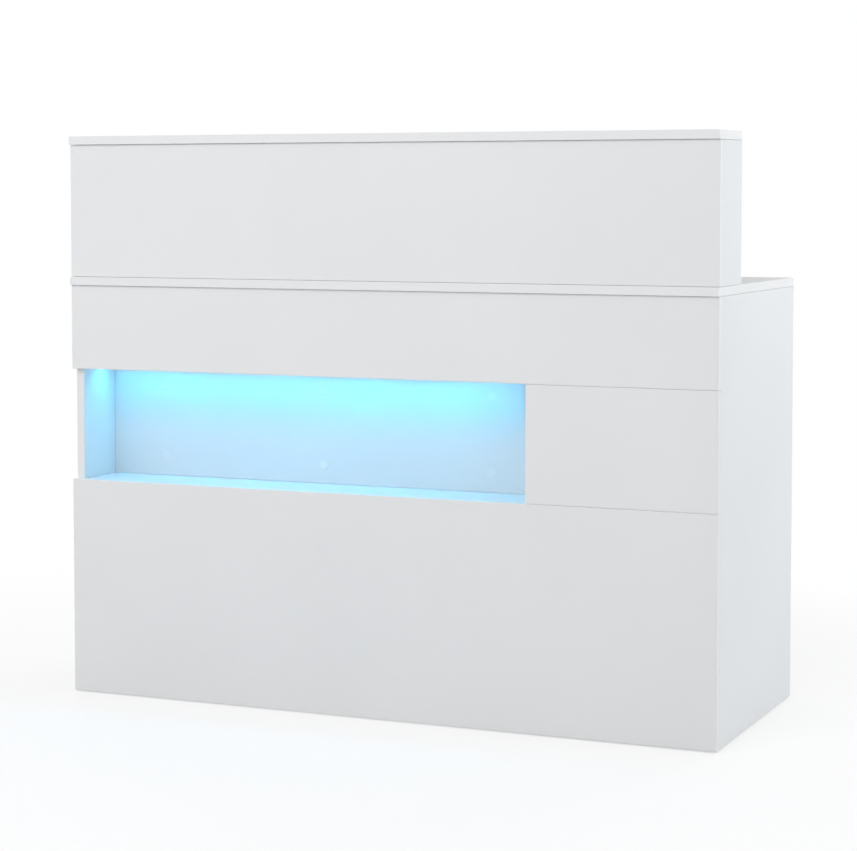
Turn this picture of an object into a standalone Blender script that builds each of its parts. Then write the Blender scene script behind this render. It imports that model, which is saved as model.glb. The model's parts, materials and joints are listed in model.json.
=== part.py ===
"""Reception desk with a raised counter, a lit display niche and a pedestal of two drawers and a cupboard.

Metres, with +Z up. +X runs to the visitor's right, and +Y from the visitor to the receptionist.
The origin is on the floor, under the middle of the desk's box.
"""

import math

import bmesh
import bpy
from mathutils import Vector

X, Y, Z = range(3)

# Carcass
WIDTH = 1.200
HEIGHT = 1.000
DESKTOP_HEIGHT = 0.750
DEPTH = 0.465              # from the front panels' face to the carcass's back edge
BOARD = 0.015
OVERHANG = 0.005           # desktop and counter top past the front panels
EDGE_ROUND = 0.0006
SEAM = 0.0003              # gap where two pieces meet
COUNTER_DEPTH = 0.125

# Glides under the side panels
GLIDE_DIAMETER = 0.012
GLIDE_HEIGHT = 0.002
GLIDE_INSET = 0.045

# Front panels and niche
FASCIA_HEIGHT = 0.150
NICHE_HEIGHT = 0.200
NICHE_DEPTH = 0.1215
NICHE_LIP = 0.0015         # lower front panel above the niche's floor
PEDESTAL_WIDTH = 0.330

# Cam fasteners in the niche's back, under round caps
CAM_BORE = 0.015
CAM_BORE_WALL = 0.0025     # wood left behind the bore
CAM_END_INSET = 0.1075
CAM_EDGE_INSET = 0.034
CAP_RIM = 0.0015           # cap past the bore's edge
CAP_THICKNESS = 0.0010
CAP_PLUG_DEPTH = 0.006
CAP_PLAY = 0.0003

# Light strip under the niche's ceiling
STRIP_WIDTH = 0.010
STRIP_THICKNESS = 0.0036
STRIP_SETBACK = 0.0714     # from the front panels' face
STRIP_LEFT_GAP = 0.005
STRIP_RIGHT_GAP = 0.050
LEAD_DIAMETER = 0.0026
LEAD_HOLE = 0.014
LEAD_HOLE_REACH = 0.025    # from the strip's end to the hole
CONTROLLER_LENGTH = 0.070
CONTROLLER_WIDTH = 0.030
CONTROLLER_HEIGHT = 0.020
CONTROLLER_ROUND = 0.002
CONTROLLER_REACH = 0.024   # from the hole to the controller's end
GLAND_DIAMETER = 0.009
GLAND_LENGTH = 0.007

# Pedestal
PLINTH_HEIGHT = 0.060
PLINTH_SETBACK = 0.030
DRAWER_FRONT_HEIGHT = 0.145
REVEAL = 0.002             # gap round the drawer fronts and the door
FRONT_GAP = 0.002          # gap between the fronts and the boards behind them
SHELF_SETBACK = 0.030

# Drawer boxes
DRAWER_BOARD = 0.012
DRAWER_BOTTOM = 0.005
DRAWER_LIFT = 0.015        # box above its front's lower edge
DRAWER_HEADROOM = 0.030    # box below its front's upper edge
DRAWER_REAR_GAP = 0.033
GROOVE_DEPTH = 0.005
GROOVE_LIFT = 0.010

# Drawer runners
RUNNER_SPACE = 0.0127
RUNNER_HEIGHT = 0.035
RUNNER_WALL = 0.0012
RUNNER_PLAY = 0.0005
RUNNER_END_PLAY = 0.0024

# Handles
HANDLE_CENTRES = 0.096
HANDLE_WIDTH = 0.010
HANDLE_THICKNESS = 0.008
HANDLE_PROJECTION = 0.028
HANDLE_ROUND = 0.0018
HANDLE_BEND = 0.003        # inner radius of its two bends
HANDLE_EDGE_GAP = 0.030    # from the door's edges to its handle

# Cam lock of the upper drawer
LOCK_BORE = 0.0112
LOCK_WALL = 0.0024
LOCK_RIM = 0.0020          # flange past the body
LOCK_FLANGE_THICKNESS = 0.0020
LOCK_TAIL = 0.006          # body behind the drawer front
LOCK_PLAY = 0.0003
LOCK_DROP = 0.030          # axis below the desktop's underside
TONGUE_WIDTH = 0.012
TONGUE_THICKNESS = 0.0025
TONGUE_BITE = 0.006        # reach into the desktop
MORTISE_PLAY = 0.0015
KEYWAY_WIDTH = 0.0014
KEYWAY_LENGTH = 0.0066
KEYWAY_DEPTH = 0.004

# Butt hinges of the door
LEAF = 0.001
LEAF_PLAY = 0.0006
HINGE_LENGTH = 0.051
HINGE_PIN = 0.0030
HINGE_WALL = 0.0014
HINGE_PLAY = 0.0003
HINGE_INSET = 0.070        # from the door's ends to the hinge's middle

SIDES = 24                 # facets of a round piece

# Places that follow from the sizes
HALF = WIDTH / 2
INNER = HALF - BOARD
FRONT = (OVERHANG - DEPTH - HANDLE_PROJECTION) / 2
BACK = FRONT + DEPTH
BEHIND = FRONT + BOARD + SEAM
FOOT = GLIDE_HEIGHT + SEAM
UNDERSIDE = DESKTOP_HEIGHT - BOARD
CARCASS_TOP = UNDERSIDE - SEAM

NICHE_TOP = UNDERSIDE - FASCIA_HEIGHT
NICHE_FLOOR = NICHE_TOP - NICHE_HEIGHT
NICHE_FACE = FRONT + NICHE_DEPTH
NICHE_BACK = NICHE_FACE + BOARD
NICHE_RIGHT = HALF - PEDESTAL_WIDTH
LOWER_PANEL_TOP = NICHE_FLOOR + NICHE_LIP

STRIP_MIDDLE = FRONT + STRIP_SETBACK
STRIP_END = NICHE_RIGHT - STRIP_RIGHT_GAP
LEAD_HOLE_X = STRIP_END + LEAD_HOLE_REACH
CONTROLLER_END = LEAD_HOLE_X - CONTROLLER_REACH
CEILING_TOP = NICHE_TOP + BOARD

BAY_LEFT = NICHE_RIGHT + BOARD
BAY_RIGHT = INNER
BAY_MIDDLE = (BAY_LEFT + BAY_RIGHT) / 2
FRONTS = BACK - BOARD
SHELVES_END = FRONTS - FRONT_GAP
FRONT_LEFT = BAY_LEFT + REVEAL
FRONT_RIGHT = BAY_RIGHT - REVEAL
UPPER_TOP = UNDERSIDE - REVEAL
UPPER_BOTTOM = UPPER_TOP - DRAWER_FRONT_HEIGHT
LOWER_TOP = UPPER_BOTTOM - REVEAL
LOWER_BOTTOM = LOWER_TOP - DRAWER_FRONT_HEIGHT
DOOR_TOP = LOWER_BOTTOM - REVEAL
DOOR_BOTTOM = PLINTH_HEIGHT
PEDESTAL_FLOOR_TOP = PLINTH_HEIGHT + BOARD
DIVIDER_BOTTOM = (DOOR_TOP + LOWER_BOTTOM - BOARD) / 2

BOX_LEFT = BAY_LEFT + RUNNER_SPACE
BOX_RIGHT = BAY_RIGHT - RUNNER_SPACE
BOX_REAR = BEHIND + DRAWER_REAR_GAP
BOX_END = FRONTS - SEAM

LOCK_BODY = LOCK_BORE + 2 * LOCK_WALL
LOCK_FLANGE = LOCK_BODY + 2 * LOCK_RIM
LOCK_HEIGHT = UNDERSIDE - LOCK_DROP
LOCK_FACE = BACK + SEAM + LOCK_FLANGE_THICKNESS
LOCK_INNER_END = FRONTS - LOCK_TAIL
TONGUE_NEAR = LOCK_INNER_END - SEAM
TONGUE_FAR = TONGUE_NEAR - TONGUE_THICKNESS
TONGUE_REACH = LOCK_DROP + TONGUE_BITE

HINGE_BORE = HINGE_PIN + 2 * HINGE_PLAY
HINGE_BARREL = HINGE_BORE + 2 * HINGE_WALL
HINGE_GAP = 2 * (SEAM + LEAF) + LEAF_PLAY
HINGE_X = BAY_RIGHT - HINGE_GAP / 2
HINGE_Y = BACK + SEAM + HINGE_BARREL / 2
DOOR_RIGHT = BAY_RIGHT - HINGE_GAP

# The lead's route from the strip's end up through the hole: x from the hole, z from the niche's ceiling
LEAD_ROUTE = [
    (-0.0170, -0.0030),
    (-0.0090, -0.0036),
    (-0.0022, -0.0010),
    (0.0004, 0.0060),
    (0.0002, 0.0140),
    (-0.0040, 0.0210),
    (-0.0120, 0.0244),
    (-0.0180, 0.0252),
]
LEAD_STEPS = 3             # straight pieces between two points of the route

# Finishes: colour, roughness, metallic
WHITE_BOARD = ((0.78, 0.79, 0.80), 0.42, 0.0)
DRAWER_WHITE = ((0.74, 0.75, 0.76), 0.50, 0.0)
WHITE_PLASTIC = ((0.80, 0.80, 0.80), 0.35, 0.0)
GREY_PLASTIC = ((0.30, 0.31, 0.32), 0.50, 0.0)
STRIP_WHITE = ((0.75, 0.92, 0.98), 0.30, 0.0)
SATIN_METAL = ((0.62, 0.62, 0.61), 0.32, 1.0)
ZINC_STEEL = ((0.56, 0.57, 0.58), 0.38, 1.0)


def spot(across, height, along):
    """A point with its height on one axis and the pair across on the other two, in order."""
    point = list(across)
    point.insert(along, height)
    return point


def arc(radius, middle, first, count):
    """A number of points on a circle, from a first angle on, one facet apart."""
    turn = 2 * math.pi / SIDES
    points = []
    for i in range(count):
        angle = first + i * turn
        points.append((middle[0] + radius * math.cos(angle), middle[1] + radius * math.sin(angle)))
    return points


def circle(radius, middle):
    return arc(radius, middle, 0, SIDES)


def quarter(radius, middle, first):
    return arc(radius, middle, first, SIDES // 4 + 1)


def skin(shape, near, far):
    """Faces between two rings of vertices."""
    for i in range(len(near)):
        j = (i + 1) % len(near)
        shape.faces.new((near[i], near[j], far[j], far[i]))


def prism(outline, low, high, along, shape=None):
    """An outline drawn across an axis and extruded from low to high along it."""
    shape = shape or bmesh.new()
    near = [shape.verts.new(spot(point, low, along)) for point in outline]
    far = [shape.verts.new(spot(point, high, along)) for point in outline]
    shape.faces.new(near)
    shape.faces.new(far)
    skin(shape, near, far)
    bmesh.ops.recalc_face_normals(shape, faces=shape.faces)
    return shape


def block(x, y, z):
    """A box between two values on each axis."""
    outline = [(x[0], y[0]), (x[1], y[0]), (x[1], y[1]), (x[0], y[1])]
    return prism(outline, z[0], z[1], Z)


def turned(profile, middle, along, hollow=False):
    """A profile of (radius, height) points spun about an axis. A hollow one closes on itself."""
    shape = bmesh.new()
    rings = []
    for radius, height in profile:
        rings.append([shape.verts.new(spot(point, height, along)) for point in circle(radius, middle)])
    for near, far in zip(rings, rings[1:]):
        skin(shape, near, far)
    if hollow:
        skin(shape, rings[-1], rings[0])
    else:
        shape.faces.new(rings[0])
        shape.faces.new(rings[-1])
    bmesh.ops.recalc_face_normals(shape, faces=shape.faces)
    return shape


def place(name, shape, group):
    """An object whose origin is at its own middle, hung on its group's empty if it moves."""
    corners = [vert.co for vert in shape.verts]
    lowest = Vector([min(corner[axis] for corner in corners) for axis in (X, Y, Z)])
    highest = Vector([max(corner[axis] for corner in corners) for axis in (X, Y, Z)])
    middle = (lowest + highest) / 2
    bmesh.ops.translate(shape, verts=shape.verts, vec=-middle)
    mesh = bpy.data.meshes.new(name)
    shape.to_mesh(mesh)
    shape.free()
    made = bpy.data.objects.new(name, mesh)
    made.location = middle
    if group:
        made.parent = group
        made.location = middle - group.location
    bpy.context.collection.objects.link(made)
    return made


def paint(target, finish):
    colour, roughness, metallic = finish
    material = bpy.data.materials.new(target.name)
    material.use_nodes = True
    shader = material.node_tree.nodes["Principled BSDF"]
    shader.inputs["Base Color"].default_value = (*colour, 1.0)
    shader.inputs["Roughness"].default_value = roughness
    shader.inputs["Metallic"].default_value = metallic
    target.data.materials.append(material)


def piece(name, shape, finish, group=None):
    made = place(name, shape, group)
    paint(made, finish)
    return made


def round_piece(name, shape, finish, group=None):
    made = piece(name, shape, finish, group)
    made.data.shade_smooth()
    made.data.set_sharp_from_angle(angle=math.radians(35))
    return made


def soften(target, width, segments=1):
    step = target.modifiers.new("edge_round", "BEVEL")
    step.width = width
    step.segments = segments
    step.limit_method = "ANGLE"


def combine(target, name, shape, operation):
    """Cuts a shape out of a piece, or joins it to the piece."""
    tool = place(name, shape, target.parent)
    tool.hide_render = True
    tool.display_type = "WIRE"
    step = target.modifiers.new(name, "BOOLEAN")
    step.object = tool
    step.operation = operation
    step.solver = "EXACT"


def cut(target, name, shape):
    combine(target, name, shape, "DIFFERENCE")


def join(target, name, shape):
    combine(target, name, shape, "UNION")


def board(name, x, y, z, group=None, finish=WHITE_BOARD):
    made = piece(name, block(x, y, z), finish, group)
    soften(made, EDGE_ROUND)
    return made


def moving_group(name, location):
    """An empty on a joint's axis, which carries the pieces that move there."""
    group = bpy.data.objects.new(name, None)
    group.location = location
    bpy.context.collection.objects.link(group)
    return group


def add_carcass():
    wall_depth = (BEHIND, BACK)
    wall_height = (FOOT, CARCASS_TOP)
    board("left_side_panel", (-HALF, -INNER), wall_depth, wall_height)
    board("right_side_panel", (INNER, HALF), wall_depth, wall_height)
    board("pedestal_side", (NICHE_RIGHT, BAY_LEFT), wall_depth, wall_height)
    desktop = board("desktop", (-HALF, HALF), (FRONT - OVERHANG, BACK), (UNDERSIDE, DESKTOP_HEIGHT))
    cut(desktop, "tongue_mortise", tongue_mortise())


def add_glides():
    radius = GLIDE_DIAMETER / 2
    chamfer = GLIDE_HEIGHT / 4
    profile = [(radius - chamfer, 0), (radius, chamfer), (radius, GLIDE_HEIGHT)]
    number = 0
    for side in (-1, 1):
        for y in (BEHIND + GLIDE_INSET, BACK - GLIDE_INSET):
            number += 1
            middle = (side * (HALF + INNER) / 2, y)
            round_piece(f"glide_{number}", turned(profile, middle, Z), WHITE_PLASTIC)


def add_counter():
    height = (DESKTOP_HEIGHT + SEAM, HEIGHT - BOARD - SEAM)
    depth = (BEHIND, FRONT + COUNTER_DEPTH)
    board("counter_front_panel", (-HALF, HALF), (FRONT, FRONT + BOARD), height)
    board("counter_left_end", (-HALF, -INNER), depth, height)
    board("counter_right_end", (INNER, HALF), depth, height)
    board("counter_divider", (-BOARD / 2, BOARD / 2), depth, height)
    top_depth = (FRONT - OVERHANG, FRONT + COUNTER_DEPTH)
    board("counter_top", (-HALF, HALF), top_depth, (HEIGHT - BOARD, HEIGHT))


def add_front_panels():
    depth = (FRONT, FRONT + BOARD)
    board("fascia_panel", (-HALF, HALF), depth, (NICHE_TOP, CARCASS_TOP))
    board("lower_front_panel", (-HALF, HALF), depth, (FOOT, LOWER_PANEL_TOP))
    cover_height = (LOWER_PANEL_TOP + SEAM, NICHE_TOP - SEAM)
    board("right_front_panel", (NICHE_RIGHT, HALF), depth, cover_height)


def add_niche():
    width = (-INNER + SEAM, NICHE_RIGHT - SEAM)
    depth = (BEHIND, NICHE_BACK)
    board("niche_floor", width, depth, (NICHE_FLOOR - BOARD, NICHE_FLOOR))
    ceiling = board("niche_ceiling", width, depth, (NICHE_TOP, CEILING_TOP))
    lead_hole = circle(LEAD_HOLE / 2, (LEAD_HOLE_X, STRIP_MIDDLE))
    cut(ceiling, "lead_hole", prism(lead_hole, NICHE_TOP - BOARD, CEILING_TOP + BOARD, Z))
    back = board("niche_back", width, (NICHE_FACE, NICHE_BACK), (NICHE_FLOOR + SEAM, NICHE_TOP - SEAM))

    left = -INNER + CAM_END_INSET
    right = NICHE_RIGHT - CAM_END_INSET
    cap_profile = [
        (CAM_BORE / 2 + CAP_RIM, NICHE_FACE - SEAM - CAP_THICKNESS),
        (CAM_BORE / 2 + CAP_RIM, NICHE_FACE - SEAM),
        (CAM_BORE / 2 - CAP_PLAY, NICHE_FACE - SEAM),
        (CAM_BORE / 2 - CAP_PLAY, NICHE_FACE + CAP_PLUG_DEPTH),
    ]
    bores = bmesh.new()
    number = 0
    for z in (NICHE_TOP - CAM_EDGE_INSET, NICHE_FLOOR + CAM_EDGE_INSET):
        for x in (left, (left + right) / 2, right):
            number += 1
            bore = circle(CAM_BORE / 2, (x, z))
            prism(bore, NICHE_FACE - BOARD, NICHE_BACK - CAM_BORE_WALL, Y, bores)
            round_piece(f"cam_cover_{number}", turned(cap_profile, (x, z), Y), WHITE_PLASTIC)
    cut(back, "cam_bores", bores)


def smooth_route(points, steps):
    """Points along a curve that passes through each given point without a corner."""
    ends = [points[0] * 2 - points[1], *points, points[-1] * 2 - points[-2]]
    route = []
    for before, start, end, after in zip(ends, ends[1:], ends[2:], ends[3:]):
        for step in range(steps):
            t = step / steps
            bend = (before * 2 - start * 5 + end * 4 - after) * t ** 2
            twist = (start * 3 - before - end * 3 + after) * t ** 3
            route.append((start * 2 + (end - before) * t + bend + twist) / 2)
    return [*route, points[-1]]


def add_lead():
    height = NICHE_TOP - SEAM - STRIP_THICKNESS / 2
    controller_middle = CEILING_TOP + SEAM + CONTROLLER_HEIGHT / 2
    inner = [Vector((LEAD_HOLE_X + x, STRIP_MIDDLE, NICHE_TOP + z)) for x, z in LEAD_ROUTE]
    first = Vector((STRIP_END + SEAM, STRIP_MIDDLE, height))
    last = Vector((CONTROLLER_END + SEAM, STRIP_MIDDLE, controller_middle))
    route = smooth_route([first, *inner, last], LEAD_STEPS)
    curve = bpy.data.curves.new("led_lead", "CURVE")
    curve.dimensions = "3D"
    curve.bevel_depth = LEAD_DIAMETER / 2
    curve.bevel_resolution = 2
    curve.use_fill_caps = True
    spline = curve.splines.new("POLY")
    spline.points.add(len(route) - 1)
    for point, place_on_route in zip(spline.points, route):
        point.co = (*place_on_route, 1.0)
    lead = bpy.data.objects.new("led_lead", curve)
    bpy.context.collection.objects.link(lead)
    paint(lead, WHITE_PLASTIC)


def add_light():
    strip_depth = (STRIP_MIDDLE - STRIP_WIDTH / 2, STRIP_MIDDLE + STRIP_WIDTH / 2)
    strip_height = (NICHE_TOP - SEAM - STRIP_THICKNESS, NICHE_TOP - SEAM)
    strip_length = (-INNER + STRIP_LEFT_GAP, STRIP_END)
    board("led_strip", strip_length, strip_depth, strip_height, finish=STRIP_WHITE)
    add_lead()

    low = CEILING_TOP + SEAM
    length = (CONTROLLER_END - CONTROLLER_LENGTH, CONTROLLER_END)
    depth = (STRIP_MIDDLE - CONTROLLER_WIDTH / 2, STRIP_MIDDLE + CONTROLLER_WIDTH / 2)
    controller = piece("led_controller", block(length, depth, (low, low + CONTROLLER_HEIGHT)), GREY_PLASTIC)
    soften(controller, CONTROLLER_ROUND, 2)
    gland = circle(GLAND_DIAMETER / 2, (STRIP_MIDDLE, low + CONTROLLER_HEIGHT / 2))
    gland_end = length[0] - GLAND_LENGTH
    join(controller, "controller_gland", prism(gland, gland_end, (length[0] + length[1]) / 2, X))


def add_pedestal():
    width = (BAY_LEFT + SEAM, BAY_RIGHT - SEAM)
    depth = (BEHIND, SHELVES_END)
    board("pedestal_floor", width, depth, (PLINTH_HEIGHT, PEDESTAL_FLOOR_TOP))
    board("pedestal_divider", width, depth, (DIVIDER_BOTTOM, DIVIDER_BOTTOM + BOARD))
    plinth_end = BACK - PLINTH_SETBACK
    board("pedestal_plinth", width, (plinth_end - BOARD, plinth_end), (FOOT, PLINTH_HEIGHT - SEAM))
    shelf_bottom = (PEDESTAL_FLOOR_TOP + DIVIDER_BOTTOM - BOARD) / 2
    shelf_depth = (BEHIND, SHELVES_END - SHELF_SETBACK)
    board("cupboard_shelf", width, shelf_depth, (shelf_bottom, shelf_bottom + BOARD))


def channel(root, reach, height, middle):
    """Outline of a C-shaped rail: its web stands at root and its two lips run to root plus reach."""
    web = root + math.copysign(RUNNER_WALL, reach)
    tip = root + reach
    low, high = middle - height / 2, middle + height / 2
    lower_lip, upper_lip = low + RUNNER_WALL, high - RUNNER_WALL
    return [
        (root, low), (tip, low), (tip, lower_lip), (web, lower_lip),
        (web, upper_lip), (tip, upper_lip), (tip, high), (root, high),
    ]


def add_runner(name, wall, inward, middle, group):
    """A rail on the wall, and the rail on the drawer that runs inside its lips."""
    reach = RUNNER_SPACE - 2 * SEAM - RUNNER_WALL - RUNNER_END_PLAY
    fixed = channel(wall + inward * SEAM, inward * reach, RUNNER_HEIGHT, middle)
    piece(f"{name}_rail", prism(fixed, BOX_REAR, SHELVES_END, Y), ZINC_STEEL)
    root = wall + inward * (RUNNER_SPACE - SEAM)
    inner_height = RUNNER_HEIGHT - 2 * (RUNNER_WALL + RUNNER_PLAY)
    sliding = channel(root, -inward * reach, inner_height, middle)
    piece(f"{name}_slide", prism(sliding, BOX_REAR, SHELVES_END, Y), ZINC_STEEL, group)


def bow_outline():
    """A handle seen along its width: its feet stand on the front, and its bar runs between two bends."""
    half = (HANDLE_CENTRES + HANDLE_THICKNESS) / 2
    inside = half - HANDLE_THICKNESS
    foot, face = BACK + SEAM, BACK + HANDLE_PROJECTION
    bend = inside - HANDLE_BEND
    height = face - HANDLE_THICKNESS - HANDLE_BEND
    outer = HANDLE_BEND + HANDLE_THICKNESS
    right, left = 0, math.pi / 2
    outside = quarter(outer, (bend, height), right) + quarter(outer, (-bend, height), left)
    hollow = quarter(HANDLE_BEND, (bend, height), right) + quarter(HANDLE_BEND, (-bend, height), left)
    feet_right, feet_left = [(inside, foot), (half, foot)], [(-half, foot), (-inside, foot)]
    return feet_right + outside + feet_left + hollow[::-1]


def handle(name, middle, across, group):
    """A bow handle on the outer face of a front. It runs along X, or along Z where across is X."""
    if across == X:
        outline = [(y, middle[1] + along) for along, y in bow_outline()]
        centre = middle[0]
    else:
        outline = [(middle[0] + along, y) for along, y in bow_outline()]
        centre = middle[1]
    shape = prism(outline, centre - HANDLE_WIDTH / 2, centre + HANDLE_WIDTH / 2, across)
    soften(round_piece(name, shape, SATIN_METAL, group), HANDLE_ROUND, 2)


def add_drawer(name, bottom, top, group):
    """A drawer box on its runners, with its bottom board let into grooves. Gives back the front."""
    front = board(f"{name}_drawer_front", (FRONT_LEFT, FRONT_RIGHT), (FRONTS, BACK), (bottom, top), group)
    low, high = bottom + DRAWER_LIFT, top - DRAWER_HEADROOM
    depth = (BOX_REAR, BOX_END)
    inside = (BOX_LEFT + DRAWER_BOARD, BOX_RIGHT - DRAWER_BOARD)
    groove_width = (inside[0] - GROOVE_DEPTH, inside[1] + GROOVE_DEPTH)
    floor = low + GROOVE_LIFT
    groove_height = (floor - SEAM, floor + DRAWER_BOTTOM + SEAM)
    groove_end = FRONTS + GROOVE_DEPTH

    left_width, right_width = (BOX_LEFT, inside[0]), (inside[1], BOX_RIGHT)
    left = board(f"{name}_drawer_left_side", left_width, depth, (low, high), group, DRAWER_WHITE)
    right = board(f"{name}_drawer_right_side", right_width, depth, (low, high), group, DRAWER_WHITE)
    for target in (front, left, right):
        groove = block(groove_width, (BOX_REAR - SEAM, groove_end), groove_height)
        cut(target, f"{target.name}_groove", groove)

    back_width = (inside[0] + SEAM, inside[1] - SEAM)
    back_height = (groove_height[1], high)
    back_depth = (BOX_REAR, BOX_REAR + DRAWER_BOARD)
    board(f"{name}_drawer_back", back_width, back_depth, back_height, group, DRAWER_WHITE)
    bottom_width = (groove_width[0] + SEAM, groove_width[1] - SEAM)
    bottom_height = (floor, floor + DRAWER_BOTTOM)
    bottom_depth = (BOX_REAR, groove_end - SEAM)
    board(f"{name}_drawer_bottom", bottom_width, bottom_depth, bottom_height, group, DRAWER_WHITE)

    add_runner(f"{name}_left", BAY_LEFT, 1, (low + high) / 2, group)
    add_runner(f"{name}_right", BAY_RIGHT, -1, (low + high) / 2, group)
    handle(f"{name}_drawer_handle", (BAY_MIDDLE, (bottom + top) / 2), Z, group)
    return front


def tongue_mortise():
    """The space in the desktop's underside that the lock's tongue sweeps as it turns up."""
    sweep = math.sqrt(TONGUE_REACH ** 2 - LOCK_DROP ** 2)
    width = (BAY_MIDDLE - TONGUE_WIDTH / 2 - MORTISE_PLAY, BAY_MIDDLE + sweep + MORTISE_PLAY)
    depth = (TONGUE_FAR - MORTISE_PLAY, TONGUE_NEAR + MORTISE_PLAY)
    return block(width, depth, (UNDERSIDE - BOARD, UNDERSIDE + TONGUE_BITE + MORTISE_PLAY))


def add_lock(front, drawer):
    """A housing in the drawer's front, and a plug with a tongue that turns in it."""
    middle = (BAY_MIDDLE, LOCK_HEIGHT)
    body = LOCK_BODY / 2
    hole = circle(body + SEAM, middle)
    cut(front, "lock_hole", prism(hole, FRONTS - BOARD, BACK + BOARD, Y))
    profile = [
        (LOCK_BORE / 2, LOCK_FACE), (LOCK_FLANGE / 2, LOCK_FACE), (LOCK_FLANGE / 2, BACK + SEAM),
        (body, BACK + SEAM), (body, LOCK_INNER_END), (LOCK_BORE / 2, LOCK_INNER_END),
    ]
    round_piece("lock_housing", turned(profile, middle, Y, hollow=True), SATIN_METAL, drawer)

    axis = moving_group("lock_axis", (BAY_MIDDLE, LOCK_FACE, LOCK_HEIGHT))
    plug_radius = LOCK_BORE / 2 - LOCK_PLAY
    plug_profile = [(plug_radius, LOCK_FACE), (plug_radius, (TONGUE_NEAR + TONGUE_FAR) / 2)]
    plug = round_piece("lock_plug", turned(plug_profile, middle, Y), SATIN_METAL, axis)
    half = TONGUE_WIDTH / 2
    tip = (BAY_MIDDLE + TONGUE_REACH - half, LOCK_HEIGHT)
    half_turn = SIDES // 2 + 1
    outline = arc(half, tip, -math.pi / 2, half_turn) + arc(half, middle, math.pi / 2, half_turn)
    join(plug, "lock_tongue", prism(outline, TONGUE_FAR, TONGUE_NEAR, Y))
    keyway_width = (BAY_MIDDLE - KEYWAY_WIDTH / 2, BAY_MIDDLE + KEYWAY_WIDTH / 2)
    keyway_height = (LOCK_HEIGHT - KEYWAY_LENGTH / 2, LOCK_HEIGHT + KEYWAY_LENGTH / 2)
    keyway_depth = (LOCK_FACE - KEYWAY_DEPTH, LOCK_FACE + KEYWAY_DEPTH)
    cut(plug, "keyway", block(keyway_width, keyway_depth, keyway_height))


def leaf_outline(middle, tabs):
    """A hinge leaf seen from the side, with tabs that reach into its knuckles."""
    edge, root = BACK - BOARD + LEAF, BACK
    reach = HINGE_Y - (HINGE_BARREL + HINGE_BORE) / 4
    low, high = middle - HINGE_LENGTH / 2, middle + HINGE_LENGTH / 2
    outline = [(edge, high), (edge, low), (root, low)]
    for tab_low, tab_high in tabs:
        outline += [(root, tab_low), (reach, tab_low), (reach, tab_high), (root, tab_high)]
    outline.append((root, high))
    return list(dict.fromkeys(outline))


def add_hinge(name, middle, group):
    """A leaf on the wall with the pin, and a leaf on the door whose knuckle turns on the pin."""
    axis = (HINGE_X, HINGE_Y)
    barrel, pin = HINGE_BARREL / 2, HINGE_PIN / 2
    low, high = middle - HINGE_LENGTH / 2, middle + HINGE_LENGTH / 2
    knuckle_low, knuckle_high = middle - HINGE_LENGTH / 6, middle + HINGE_LENGTH / 6

    wall_tabs = [(low, knuckle_low - HINGE_PLAY), (knuckle_high + HINGE_PLAY, high)]
    wall_face = BAY_RIGHT - SEAM
    plate = prism(leaf_outline(middle, wall_tabs), wall_face - LEAF, wall_face, X)
    wall_leaf = round_piece(f"{name}_hinge_wall_leaf", plate, SATIN_METAL)
    pin_profile = [
        (barrel, low), (barrel, wall_tabs[0][1]), (pin, wall_tabs[0][1]),
        (pin, wall_tabs[1][0]), (barrel, wall_tabs[1][0]), (barrel, high),
    ]
    join(wall_leaf, f"{name}_hinge_pin", turned(pin_profile, axis, Z))

    door_face = DOOR_RIGHT + SEAM
    plate = prism(leaf_outline(middle, [(knuckle_low, knuckle_high)]), door_face, door_face + LEAF, X)
    door_leaf = round_piece(f"{name}_hinge_door_leaf", plate, SATIN_METAL, group)
    bore = HINGE_BORE / 2
    knuckle = [(bore, knuckle_low), (barrel, knuckle_low), (barrel, knuckle_high), (bore, knuckle_high)]
    join(door_leaf, f"{name}_hinge_knuckle", turned(knuckle, axis, Z, hollow=True))


def add_door():
    group = moving_group("door_axis", (HINGE_X, HINGE_Y, (DOOR_BOTTOM + DOOR_TOP) / 2))
    board("cupboard_door", (FRONT_LEFT, DOOR_RIGHT), (FRONTS, BACK), (DOOR_BOTTOM, DOOR_TOP), group)
    half = (HANDLE_CENTRES + HANDLE_THICKNESS) / 2
    handle("door_handle", (FRONT_LEFT + HANDLE_EDGE_GAP, DOOR_TOP - HANDLE_EDGE_GAP - half), X, group)
    add_hinge("upper", DOOR_TOP - HINGE_INSET, group)
    add_hinge("lower", DOOR_BOTTOM + HINGE_INSET, group)


def add_drawers():
    upper = moving_group("upper_drawer_axis", (BAY_MIDDLE, BACK, (UPPER_BOTTOM + UPPER_TOP) / 2))
    upper_front = add_drawer("upper", UPPER_BOTTOM, UPPER_TOP, upper)
    add_lock(upper_front, upper)
    lower = moving_group("lower_drawer_axis", (BAY_MIDDLE, BACK, (LOWER_BOTTOM + LOWER_TOP) / 2))
    add_drawer("lower", LOWER_BOTTOM, LOWER_TOP, lower)


def main():
    for old in list(bpy.data.objects):
        bpy.data.objects.remove(old, do_unlink=True)
    add_carcass()
    add_glides()
    add_counter()
    add_front_panels()
    add_niche()
    add_light()
    add_pedestal()
    add_drawers()
    add_door()


main()
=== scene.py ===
"""Looks of a white reception desk: its boards, fittings, lit strip and finishes, in a plain studio.

Metres. +X runs to the visitor's right, +Y from the visitor to the receptionist, and +Z up.
"""

import json
import math

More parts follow.
